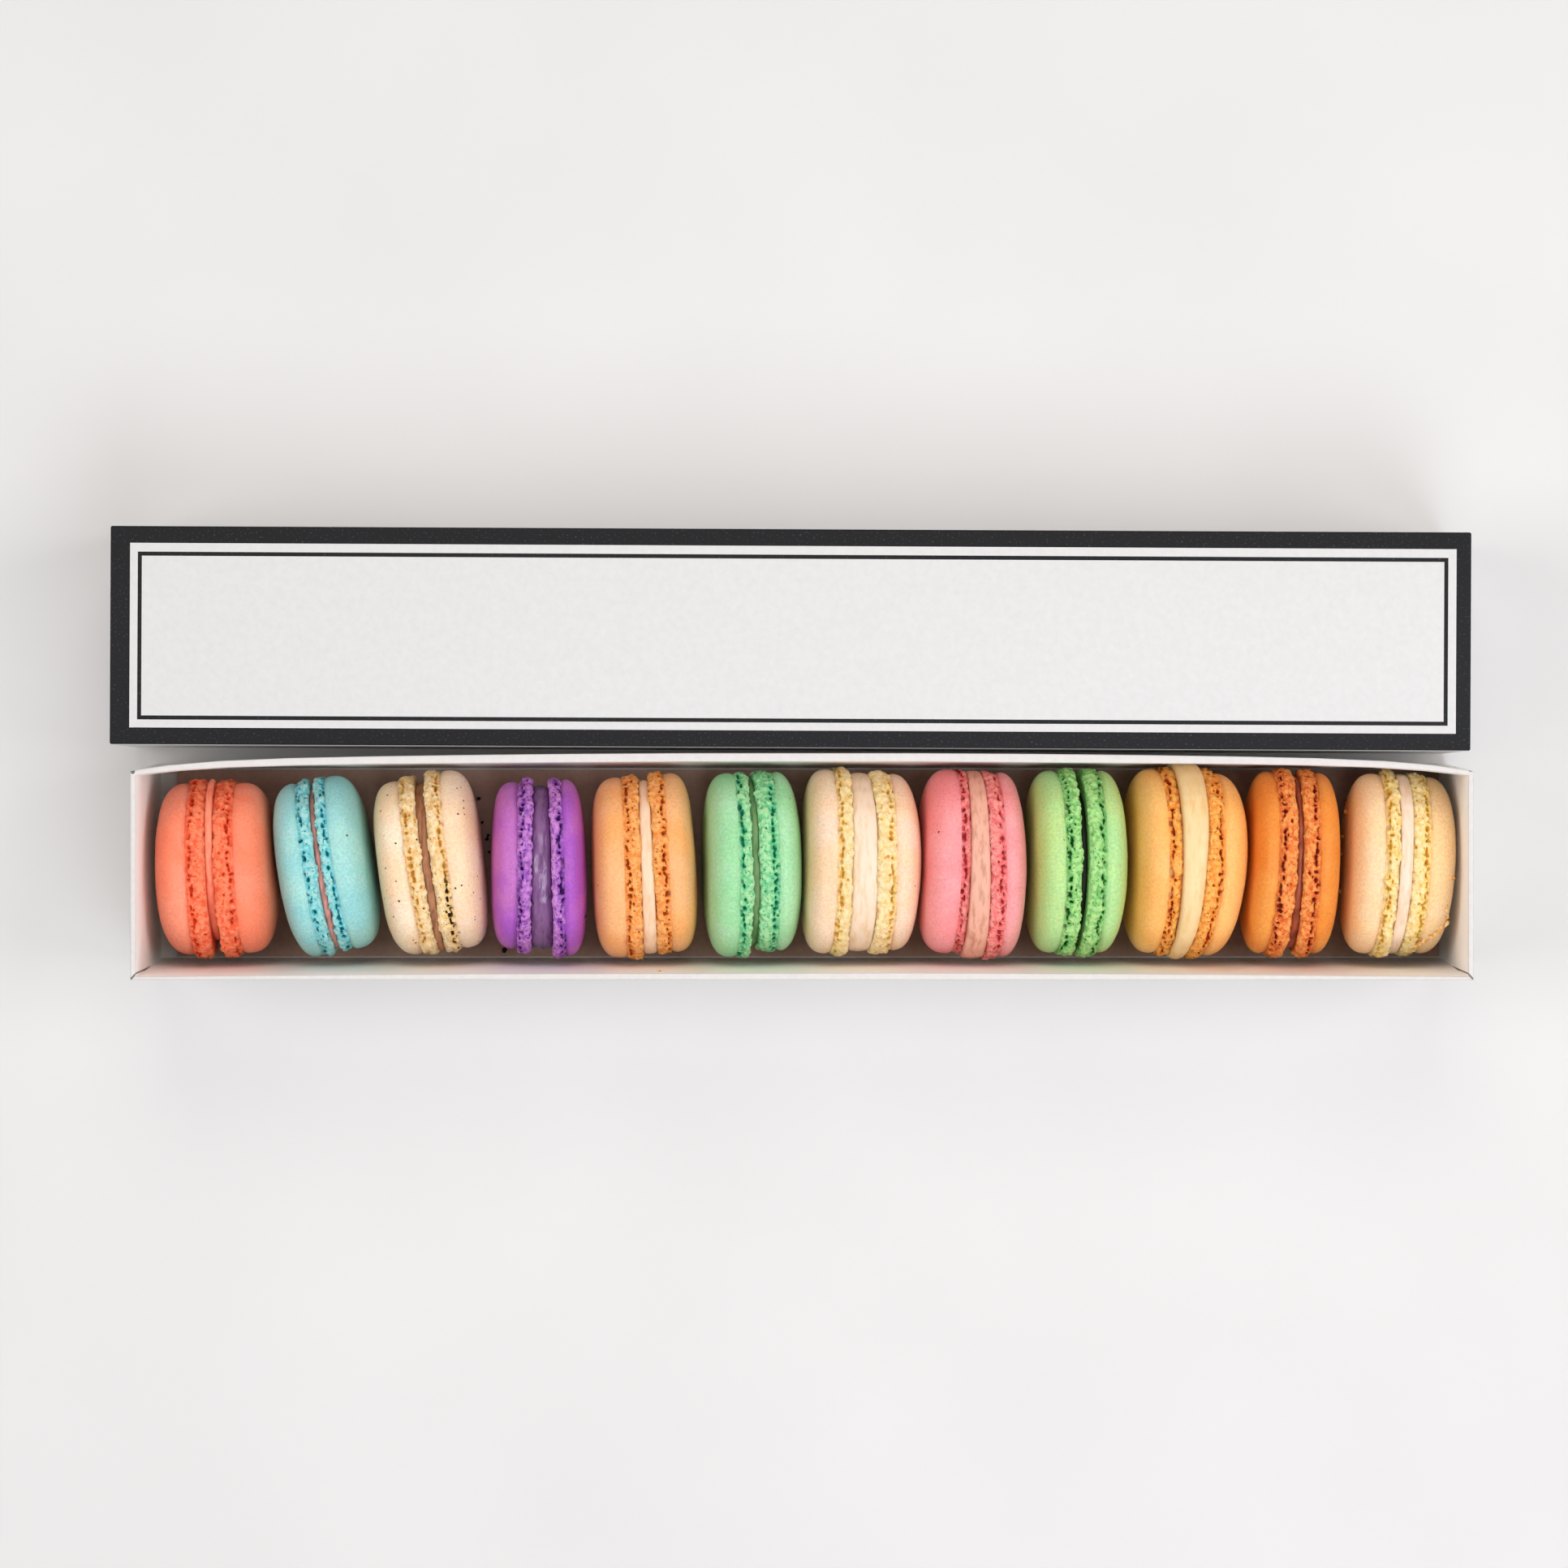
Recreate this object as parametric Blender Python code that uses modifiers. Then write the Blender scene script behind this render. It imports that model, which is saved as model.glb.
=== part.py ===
"""Twelve macarons standing on edge in a long paperboard box, with its lift-off lid lying behind it.

Units are metres, +Z is up, and the origin is under the middle of the whole group, on the table.
The tray runs along X, open at the top. The lid stands on its rim, printed face up.
Each macaron is two shells and the filling between them, and each of those is one object.
"""

import math
from collections import namedtuple

import bmesh
import bpy
from mathutils import Matrix, Vector, noise

MM = 0.001

# Paperboard box
BOX_HEIGHT = 50 * MM
BOARD = 1.0 * MM  # one wall of the box, two plies of paperboard glued together
FLOOR_BOARD = 0.6 * MM
SOLID_GAP = 0.3 * MM  # clearance left between pieces that rest on each other
WALL_STEPS = 18  # facets along a long wall, so that its bow is smooth
CUTTER_RISE = 2 * MM  # how far a cavity runs past the rim

# Tray, in its own frame: X from the middle of its length, Y from the middle of its floor
TRAY_AT = Vector((2.55 * MM, -26.33 * MM, 0))
TRAY_LENGTH = 304.9 * MM
END_WALL = 1.2 * MM
REAR_BASE = 23.8 * MM
REAR_CORNER = 21.95 * MM  # the rear rim at the corners, which the end walls hold in
REAR_BOW = 4.2 * MM  # how far the middle of the rear rim springs out from there
FRONT_BASE = -23.35 * MM
FRONT_RIM = -25.4 * MM
FRONT_WALL = 1.4 * MM
HEM_DROP = 12 * MM  # the board folded over the rear rim, down its inside
HEM_CORNER = 21.0 * MM
HEM_BOW = 3.2 * MM
CORNER_HOLD = 0.55  # share of the bow that is lost close to the corners
CORNER_POWER = 12

# Card under the macarons
CARD_LEFT = -147.3 * MM
CARD_RIGHT = 150.6 * MM
CARD_REAR = 22.45 * MM
CARD_FRONT = -21.65 * MM
CARD_THICK = 0.5 * MM

# Lid
LID_AT = Vector((-0.04 * MM, 25.82 * MM, 0))
LID_TURN = math.radians(-0.28)
LID_LENGTH = 308.9 * MM
LID_WIDTH = 49.6 * MM
LID_FLARE = 0.35 * MM  # each wall stands out this much further at its open edge

# Macarons
SHELL_STEPS = 30
FILLING_STEPS = 24
DOME_RINGS = 3
PUFF = 3.3  # power of the dome's outline: 2 is an ellipse, more is fuller at the shoulder
WAIST_DIP = 0.45 * MM  # the crease where dome and foot meet
FOOT_EDGE = 0.7 * MM  # how far the foot draws in at the filling
FOOT_CREST = 0.42  # where the foot is widest, as a share of its height from the filling
RUFFLE_SIZE = 3.2 * MM  # spacing of the ruffles round the foot
RUFFLE_DEPTH = 0.45 * MM
FILLING_BULGE = 0.35 * MM
THIN_FILLING = 1.2 * MM  # a filling no thicker than this has a straight edge

# diameter over the foot, foot height, dome height, how far the dome stands in from the foot (mm),
# turn about the vertical and lean to the right (degrees), offset towards the rear wall (mm)
Shell = namedtuple("Shell", "diameter foot dome inset turn lean offset")
# colour name, place along the tray and width of the gap between the shells (mm),
# diameter and offset of the filling (mm), the two shells, shell and filling colours (sRGB)
Macaron = namedtuple("Macaron", "name place gap filling offset left right shell_hex filling_hex")

MACARONS = [
    Macaron("coral", -135.71, 1.70, 34.8, 0.1,
            Shell(41.6, 4.5, 8.3, 0.9, 1.6, 0.5, -0.6),
            Shell(41.2, 4.6, 8.5, 0.7, 2.9, 1.0, -0.7), "fb8563", "fc9a85"),
    Macaron("aqua", -110.40, 1.35, 37.0, -0.1,
            Shell(41.3, 3.0, 6.9, 0.3, 8.8, 0.2, -0.3),
            Shell(41.2, 2.5, 7.8, 0.4, 9.3, 0.2, 0.4), "8fdcd6", "d98c84"),
    Macaron("vanilla", -85.99, 1.88, 37.5, -0.2,
            Shell(42.1, 3.6, 7.5, 0.8, 8.2, 0.7, 0.4),
            Shell(42.6, 3.8, 7.5, 0.6, 6.8, 1.0, 1.1), "fbe0b8", "a97f5f"),
    Macaron("violet", -60.47, 4.52, 37.5, -0.3,
            Shell(41.2, 3.1, 6.2, 1.3, -0.5, 2.5, 0.2),
            Shell(42.3, 2.8, 5.3, 0.7, 1.7, 3.3, -0.4), "a94fd6", "6d5175"),
    Macaron("apricot", -35.95, 2.73, 38.6, 0.1,
            Shell(42.8, 3.8, 7.5, 0.4, 1.8, 1.9, -0.2),
            Shell(42.5, 3.5, 6.4, 0.4, 2.9, 2.0, 0.7), "fbb075", "fbe6cf"),
    Macaron("mint", -12.00, 1.50, 38.6, 0.9,
            Shell(43.2, 2.9, 7.2, 0.2, 0.9, 4.4, 0.4),
            Shell(42.0, 4.6, 6.2, 0.3, 1.4, 4.8, 1.1), "a5e3ad", "9fb094"),
    Macaron("cream", 12.84, 4.99, 39.5, 1.0,
            Shell(43.9, 3.5, 6.8, 0.6, -0.9, 3.9, 1.1),
            Shell(42.7, 4.6, 6.85, 0.8, 0.0, 5.8, 1.0), "fbdfae", "fbe6c4"),
    Macaron("rose", 39.34, 4.14, 40.6, 0.3,
            Shell(43.0, 2.1, 8.0, 0.2, -1.4, 3.8, 1.1),
            Shell(43.9, 3.7, 6.0, 0.5, 0.5, 4.5, 0.3), "fb9aa4", "e8b89c"),
    Macaron("pistachio", 63.20, 1.50, 34.0, 1.0,
            Shell(43.6, 3.6, 6.7, 0.7, -0.2, 4.4, 1.0),
            Shell(43.8, 3.9, 6.3, 0.8, -0.7, 5.2, 1.1), "b4e6a4", "6f8a4e"),
    Macaron("golden", 87.20, 4.52, 42.2, 1.1,
            Shell(43.8, 3.0, 6.8, 0.5, -0.9, 5.5, 1.2),
            Shell(44.2, 4.2, 7.6, 0.9, -4.2, 8.0, 0.9), "fbb866", "fbe2a4"),
    Macaron("orange", 113.26, 2.26, 38.0, 1.0,
            Shell(44.0, 4.1, 5.5, 0.9, -2.8, 2.4, 0.7),
            Shell(43.8, 3.8, 5.8, 0.9, -1.5, 0.5, 0.8), "f2822e", "8a5a4a"),
    Macaron("peach", 137.45, 2.63, 39.5, 0.5,
            Shell(43.7, 3.4, 7.3, 0.9, -2.8, 1.2, 0.4),
            Shell(42.7, 4.3, 7.45, 0.9, -3.3, 1.8, 0.6), "fcd9a4", "fdf0df"),
]

BOARD_HEX = "f3f1ef"
CARD_HEX = "dccfc6"
PRINT_HEX = "323337"


def clear_scene():
    for old in list(bpy.data.objects):
        bpy.data.objects.remove(old, do_unlink=True)


def new_collection(name, helper=False):
    made = bpy.data.collections.new(name)
    made.hide_render = helper
    bpy.context.scene.collection.children.link(made)
    return made


def linear(hex_colour):
    """sRGB hex to the linear colour that a shader takes."""
    channels = [int(hex_colour[i:i + 2], 16) / 255 for i in (0, 2, 4)]
    return [c / 12.92 if c <= 0.04045 else ((c + 0.055) / 1.055) ** 2.4 for c in channels]


def finish(name, hex_colour, roughness):
    material = bpy.data.materials.new(name)
    material.use_nodes = True
    shader = material.node_tree.nodes["Principled BSDF"]
    shader.inputs["Base Color"].default_value = (*linear(hex_colour), 1)
    shader.inputs["Roughness"].default_value = roughness
    shader.inputs["Metallic"].default_value = 0
    return material


def place(name, mesh, collection, material, location=(0, 0, 0), rotation=(0, 0, 0), parent=None):
    made = bpy.data.objects.new(name, mesh)
    collection.objects.link(made)
    made.location = location
    made.rotation_euler = rotation
    made.parent = parent
    if material:
        mesh.materials.append(material)
    return made


def anchor(name, collection, location, rotation=(0, 0, 0)):
    """An empty that carries the pieces belonging together."""
    made = bpy.data.objects.new(name, None)
    collection.objects.link(made)
    made.location = location
    made.rotation_euler = rotation
    return made


def both(value):
    """The same place at the base and at the rim: an upright wall."""
    return (value, value)


def mix(low, high, share):
    return low + (high - low) * share


def spring(t):
    """Bow of a long wall, 1 in the middle and 0 at the corners (t = -1 and 1)."""
    return 1 - (1 - CORNER_HOLD) * t ** 2 - CORNER_HOLD * abs(t) ** CORNER_POWER


def rear_outside(t, level):
    return mix(REAR_BASE, REAR_CORNER + REAR_BOW * spring(t), level)


def front_outside(t, level):
    return mix(FRONT_BASE, FRONT_RIM, level)


def rear_inside(t, level):
    return rear_outside(t, level) - BOARD


def hem_inside(t, level):
    return HEM_CORNER + HEM_BOW * spring(t)


def front_inside(t, level):
    bowed_in = level * (0.9 * MM * (1 - t * t) - 0.7 * MM)
    return front_outside(t, level) + FRONT_WALL + bowed_in


def walled_block(name, left, right, rear, front, bottom, top):
    """A box whose walls lean and bow: rear and front are functions of the place along it and the height."""
    shape = bmesh.new()
    bmesh.ops.create_cube(shape, size=2)
    along = [e for e in shape.edges if abs(e.verts[0].co.x - e.verts[1].co.x) > 1]
    bmesh.ops.subdivide_edges(shape, edges=along, cuts=WALL_STEPS - 1, use_grid_fill=True)
    for vert in shape.verts:
        t = math.sin(vert.co.x * math.pi / 2)  # facets crowd towards the corners
        z = top if vert.co.z > 0 else bottom
        level = z / BOX_HEIGHT
        x = mix(mix(*left, level), mix(*right, level), (t + 1) / 2)
        y = rear(t, level) if vert.co.y > 0 else front(t, level)
        vert.co = (x, y, z)
    mesh = bpy.data.meshes.new(name)
    shape.to_mesh(mesh)
    shape.free()
    return mesh


def cut(body, cutter):
    cutter.display_type = "WIRE"
    cutter.hide_render = True
    modifier = body.modifiers.new("cut " + cutter.name, "BOOLEAN")
    modifier.operation = "DIFFERENCE"
    modifier.solver = "EXACT"
    modifier.object = cutter


def build_tray(parts, cutters, board):
    end = TRAY_LENGTH / 2
    block = walled_block("tray", both(-end), both(end), rear_outside, front_outside, 0, BOX_HEIGHT)
    tray = place("tray", block, parts, board, TRAY_AT)
    left = both(END_WALL - end)
    right = both(end - END_WALL)
    hem_at = BOX_HEIGHT - HEM_DROP
    lower = walled_block("tray cavity", left, right, rear_inside, front_inside, FLOOR_BOARD, hem_at)
    upper = walled_block("hem cavity", left, right, hem_inside, front_inside,
                         hem_at - SOLID_GAP, BOX_HEIGHT + CUTTER_RISE)
    for mesh in (lower, upper):
        cut(tray, place(mesh.name, mesh, cutters, None, TRAY_AT))


def build_card(parts, material):
    shape = bmesh.new()
    bmesh.ops.create_cube(shape, size=1)
    size = (CARD_RIGHT - CARD_LEFT, CARD_REAR - CARD_FRONT, CARD_THICK)
    bmesh.ops.scale(shape, vec=size, verts=shape.verts)
    mesh = bpy.data.meshes.new("base_card")
    shape.to_mesh(mesh)
    shape.free()
    height = FLOOR_BOARD + SOLID_GAP + CARD_THICK / 2
    middle = Vector(((CARD_LEFT + CARD_RIGHT) / 2, (CARD_REAR + CARD_FRONT) / 2, height))
    place("base_card", mesh, parts, material, TRAY_AT + middle)
    return height + CARD_THICK / 2


def lid_block(name, inset, bottom, top):
    """The lid's outside, or with an inset its hollow: straight walls that flare a little downwards."""
    def wall(half):
        return lambda t, level: math.copysign(abs(half) - inset + LID_FLARE * (1 - level), half)
    end = LID_LENGTH / 2 - inset
    return walled_block(name, (-end - LID_FLARE, -end), (end + LID_FLARE, end),
                        wall(LID_WIDTH / 2), wall(-LID_WIDTH / 2), bottom, top)


def build_lid(parts, cutters, board):
    turn = (0, 0, LID_TURN)
    lid = place("lid", lid_block("lid", 0, 0, BOX_HEIGHT), parts, board, LID_AT, turn)
    hollow = lid_block("lid hollow", BOARD, -CUTTER_RISE, BOX_HEIGHT - BOARD)
    cut(lid, place("lid hollow", hollow, cutters, None, LID_AT, turn))


def shell_profile(shell):
    """Points (radius, height above the filling) from the top of the dome down to the flat underside."""
    foot = shell.foot * MM
    dome = shell.dome * MM
    radius = shell.diameter / 2 * MM - RUFFLE_DEPTH / 2
    shoulder = shell.diameter / 2 * MM - shell.inset * MM
    points = [(0, foot + dome)]
    for ring in range(DOME_RINGS, 0, -1):
        angle = math.pi / 2 * ring / (DOME_RINGS + 1)
        across = math.cos(angle) ** (2 / PUFF)
        up = math.sin(angle) ** (2 / PUFF)
        points.append((shoulder * across, foot + dome * up))
    points.append((shoulder - WAIST_DIP, foot))
    points.append((radius, foot * FOOT_CREST))
    points.append((radius - FOOT_EDGE, 0))
    points.append((0, 0))
    return points


def turned_shell(name, shell):
    """A shell turned about its own Z axis, with the ruffles of its foot pushed in and out."""
    profile = shell_profile(shell)
    mesh = bpy.data.meshes.new(name)
    edges = [(i, i + 1) for i in range(len(profile) - 1)]
    mesh.from_pydata([(radius, 0, height) for radius, height in profile], edges, [])
    return mesh


def add_turning(piece):
    screw = piece.modifiers.new("turning", "SCREW")
    screw.steps = SHELL_STEPS
    screw.render_steps = SHELL_STEPS
    screw.use_merge_vertices = True
    screw.merge_threshold = 0.00001
    screw.use_smooth_shade = True


def add_ruffles(piece, texture, crest):
    """Pushes the ring of the foot's crest in and out along the surface."""
    group = piece.vertex_groups.new(name="foot crest")
    group.add([crest], 1, "REPLACE")
    ruffles = piece.modifiers.new("ruffles", "DISPLACE")
    ruffles.texture = texture
    ruffles.texture_coords = "GLOBAL"
    ruffles.vertex_group = group.name
    ruffles.mid_level = 0.5
    ruffles.strength = 3 * RUFFLE_DEPTH


def rest_height(shell, side):
    """Height of the middle of the flat underside when the leaning shell rests on its edge."""
    lean = math.radians(shell.lean)
    drops = [radius * math.cos(lean) + side * height * math.sin(lean)
             for radius, height in shell_profile(shell)]
    return max(drops) + RUFFLE_DEPTH / 2 + SOLID_GAP


def build_shell(name, shell, side, x, floor, parts, material, texture):
    """One shell on edge, dome to the left for side -1 and to the right for side 1. Returns its underside."""
    piece = place(name, turned_shell(name, shell), parts, material)
    add_turning(piece)
    add_ruffles(piece, texture, crest=DOME_RINGS + 2)
    centre = TRAY_AT + Vector((x, shell.offset * MM, floor + rest_height(shell, side)))
    turn = math.radians(shell.turn)
    lean = math.radians(shell.lean)
    piece.location = centre
    piece.rotation_euler = (0, lean + side * math.pi / 2, turn)
    across = Matrix.Rotation(turn, 3, "Z") @ Matrix.Rotation(lean, 3, "Y") @ Vector((1, 0, 0))
    return centre, across


def on_plane(face, distance, y, z):
    """X of the point (y, z) on a shell's underside, moved along its axis by a distance."""
    centre, across = face
    point = centre + across * distance
    return point.x - (across.y * (y - point.y) + across.z * (z - point.z)) / across.x


def build_filling(name, macaron, left_face, right_face, parts, material):
    """A disc of filling whose two sides lie along the undersides of the shells."""
    shape = bmesh.new()
    radius = macaron.filling / 2 * MM
    thick = macaron.gap * MM > THIN_FILLING + 2 * SOLID_GAP
    bmesh.ops.create_cone(shape, cap_ends=True, segments=FILLING_STEPS, radius1=radius, radius2=radius, depth=2)
    if thick:
        sides = [e for e in shape.edges if abs(e.verts[0].co.z - e.verts[1].co.z) > 1]
        bmesh.ops.subdivide_edges(shape, edges=sides, cuts=1)
    height = (left_face[0].z + right_face[0].z) / 2
    middle = TRAY_AT.y + macaron.offset * MM
    for vert in shape.verts:
        side = round(vert.co.z)
        swell = FILLING_BULGE if thick and side == 0 else 0
        out = 1 + (swell + 0.25 * MM * noise.noise(Vector((vert.co.x, vert.co.y, 0)) * 150)) / radius
        y = middle + vert.co.y * out
        z = height - vert.co.x * out
        left = on_plane(left_face, SOLID_GAP, y, z)
        right = on_plane(right_face, -SOLID_GAP, y, z)
        vert.co = (mix(left, right, (side + 1) / 2), y, z)
    mesh = bpy.data.meshes.new(name)
    shape.to_mesh(mesh)
    shape.free()
    place(name, mesh, parts, material)


def build_macaron(number, macaron, floor, parts, texture):
    stem = f"macaron_{number:02d}"
    shell_finish = finish(f"baked shell, {macaron.name}", macaron.shell_hex, 0.75)
    filling_finish = finish(f"filling, {macaron.name}", macaron.filling_hex, 0.5)
    half_gap = macaron.gap / 2 * MM
    x = macaron.place * MM
    left = build_shell(stem + "_left_shell", macaron.left, -1, x - half_gap, floor, parts,
                       shell_finish, texture)
    right = build_shell(stem + "_right_shell", macaron.right, 1, x + half_gap, floor, parts,
                        shell_finish, texture)
    build_filling(stem + "_filling", macaron, left, right, parts, filling_finish)


def main():
    clear_scene()
    parts = new_collection("box of macarons")
    cutters = new_collection("cutters", helper=True)
    board = finish("white paperboard", BOARD_HEX, 0.6)
    build_tray(parts, cutters, board)
    floor = build_card(parts, finish("warm white card", CARD_HEX, 0.7))
    lid_board = finish("coated paperboard with a printed border", BOARD_HEX, 0.45)
    build_lid(parts, cutters, lid_board)
    ruffles = bpy.data.textures.new("ruffles", "CLOUDS")
    ruffles.noise_scale = RUFFLE_SIZE
    for number, macaron in enumerate(MACARONS, start=1):
        build_macaron(number, macaron, floor, parts, ruffles)


main()
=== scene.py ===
import math
from collections import defaultdict

import bmesh
import bpy
import numpy as np
from mathutils import Matrix, Vector
from mathutils.bvhtree import BVHTree


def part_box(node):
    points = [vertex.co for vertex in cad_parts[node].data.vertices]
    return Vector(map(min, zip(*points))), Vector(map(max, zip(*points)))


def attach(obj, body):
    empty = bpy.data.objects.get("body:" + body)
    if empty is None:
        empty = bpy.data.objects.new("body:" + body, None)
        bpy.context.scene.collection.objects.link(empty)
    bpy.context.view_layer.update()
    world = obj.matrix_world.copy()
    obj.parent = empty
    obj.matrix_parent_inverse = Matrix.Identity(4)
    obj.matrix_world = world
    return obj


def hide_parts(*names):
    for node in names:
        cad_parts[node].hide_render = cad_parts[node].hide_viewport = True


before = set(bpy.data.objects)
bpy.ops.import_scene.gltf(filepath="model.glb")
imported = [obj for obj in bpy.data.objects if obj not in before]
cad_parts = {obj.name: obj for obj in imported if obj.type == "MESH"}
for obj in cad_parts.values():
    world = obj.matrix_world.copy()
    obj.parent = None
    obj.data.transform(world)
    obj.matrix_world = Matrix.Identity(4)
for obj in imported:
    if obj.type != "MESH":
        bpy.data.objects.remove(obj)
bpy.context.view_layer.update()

mm = 0.001
cameraLook = {"at": (-1.52, -7.26, 1233), "width": 355.8, "plane": 50}  # mm


# small tools

def toLinear(hexColour):
    channels = [int(hexColour[i:i + 2], 16) / 255 for i in (1, 3, 5)]
    return (*[c / 12.92 if c <= 0.04045 else ((c + 0.055) / 1.055) ** 2.4 for c in channels], 1)


def newMaterial(name):
    material = bpy.data.materials.new(name)
    material.use_nodes = True
    tree = material.node_tree
    return material, tree, tree.nodes["Principled BSDF"]


def addNode(tree, kind, inputs=None, stops=None, **settings):
    # inputs maps a socket's name or number to a value or to another node's output
    node = tree.nodes.new("ShaderNode" + kind)
    for key, value in settings.items():
        setattr(node, key, value)
    for key, value in (inputs or {}).items():
        if isinstance(value, bpy.types.NodeSocket):
            tree.links.new(value, node.inputs[key])
        else:
            node.inputs[key].default_value = value
    if stops:
        ramp = node.color_ramp
        while len(ramp.elements) > 1:
            ramp.elements.remove(ramp.elements[-1])
        ramp.elements[0].position, ramp.elements[0].color = stops[0]
        for position, colour in stops[1:]:
            ramp.elements.new(position).color = colour
    return node


def grey(value):
    return (value, value, value, 1)


def mix(low, high, share):
    return low + (high - low) * share


def smooth(low, high, value):
    share = np.clip((value - low) / (high - low), 0, 1)
    return share * share * (3 - 2 * share)


def scatter(cells, salt=0):
    # a fixed random number from 0 to 1 for each whole-numbered cell
    x, y, z = (cells[..., i].astype(np.int64) for i in range(3))
    mixed = (x * 374761393 + y * 668265263 + z * 1442695041 + salt * 69069) & 0xFFFFFFFF
    mixed = ((mixed ^ (mixed >> 13)) * 1274126177) & 0xFFFFFFFF
    mixed = ((mixed ^ (mixed >> 16)) * 2246822519) & 0xFFFFFFFF
    return (mixed ^ (mixed >> 15)) / 0xFFFFFFFF


def waves(points, salt=0):
    # slow random swellings from -1 to 1, one lattice step long
    base = np.floor(points)
    share = points - base
    share = share * share * (3 - 2 * share)
    total = 0
    for corner in np.ndindex(2, 2, 2):
        weight = np.prod(np.where(corner, share, 1 - share), axis=-1)
        total = total + weight * scatter(base + corner, salt)
    return total * 2 - 1


def bubbles(points, salt=0):
    # distance to the nearest of one random point per cell, and that point's own random number
    base = np.floor(points)
    nearest = np.full(len(points), 9.0)
    own = np.zeros(len(points))
    for corner in np.ndindex(3, 3, 3):
        cell = base + corner - 1
        offset = np.stack([scatter(cell, salt + k) for k in (1, 2, 3)], axis=-1)
        far = np.linalg.norm(cell + offset - points, axis=-1)
        closer = far < nearest
        nearest = np.where(closer, far, nearest)
        own = np.where(closer, scatter(cell, salt + 4), own)
    return nearest, own


def mergedCopy(name):
    # a CAD node's loose triangles, joined at their corners
    copy = bmesh.new()
    copy.from_mesh(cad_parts[name].data)
    bmesh.ops.remove_doubles(copy, verts=copy.verts, dist=0.001 * mm)
    return copy


def flatCopy(name):
    # the same with its triangles joined into whole flat faces
    copy = mergedCopy(name)
    bmesh.ops.dissolve_limit(copy, angle_limit=math.radians(0.3), verts=copy.verts, edges=copy.edges)
    return copy


pieces = {}


def addPiece(name, mesh, material, nodes=()):
    mesh.materials.append(material)
    piece = bpy.data.objects.new(name, mesh)
    bpy.context.scene.collection.objects.link(piece)
    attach(piece, "root")
    if nodes:
        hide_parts(*nodes)
    pieces[name] = piece
    return piece


def meshOf(name, shape):
    mesh = bpy.data.meshes.new(name)
    shape.to_mesh(mesh)
    shape.free()
    return mesh


def sharpEdges(piece, degrees):
    # smooth shading, broken at every edge sharper than this
    shape = bmesh.new()
    shape.from_mesh(piece.data)
    for face in shape.faces:
        face.smooth = True
    for edge in shape.edges:
        edge.smooth = edge.calc_face_angle(math.pi) < math.radians(degrees)
    shape.to_mesh(piece.data)
    shape.free()


# macaron shells: almond meringue, piped round and baked, with a crackled porous foot

shellLook = {
    "steps": 370,            # facets round a shell, about 0.36 mm each
    "footSpacing": 0.23,     # mm between rings on the foot
    "domeSpacing": 1.3,      # mm between rings at the middle of the dome
    "edgeSpacing": 0.35,     # mm between rings near its edge
    "domeRings": 60,         # points worked out along the dome's outline
    "overhang": 0.45,        # mm, how far the dome stands out past the crease above the foot
    "step": 0.12,            # mm, height of that crease
    "curl": 0.35,            # mm, how far the dome's lower edge curls under
    "curlHeight": 1.1,       # mm, up to where it curls
    "ruffle": 0.42,          # mm, slow waves round the foot
    "lump": 0.75,            # mm, crumbs of the foot
    "lumpSize": 1.35,
    "grit": 0.22,            # mm, finer crumbs on those
    "gritSize": 0.7,
    "gapSpacing": 1.65,      # mm between the burst bubbles in the row under the dome
    "gapDepth": 0.95,
    "gapShown": 0.88,        # share of them that burst
    "pitSize": 1.15,         # mm between the smaller burst bubbles
    "pitDepth": 0.5,
    "cloud": 14,             # mm, size of the soft patches of colour on the dome
    "almond": 0.6,           # mm, ground almond, drawn coarse enough to show
    "crumb": 1.0,            # mm, tints of the foot's crumbs
    "pinhole": 0.62,         # mm, between the finest holes of the foot, drawn only as dark specks of painted shade
    "grain": 0.45,           # mm, roughness of the skin
    "grainDepth": 0.5,       # mm
    "speckSpacing": 2.6,     # mm
    "speckSize": 0.105,      # share of that spacing
    "speckColour": "#5a3a1c",
    "seedColour": "#2e1c12", # vanilla seeds in the holes of a foot
    "unevenness": 0.22,      # mm, slow swellings of the dome
}
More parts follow.
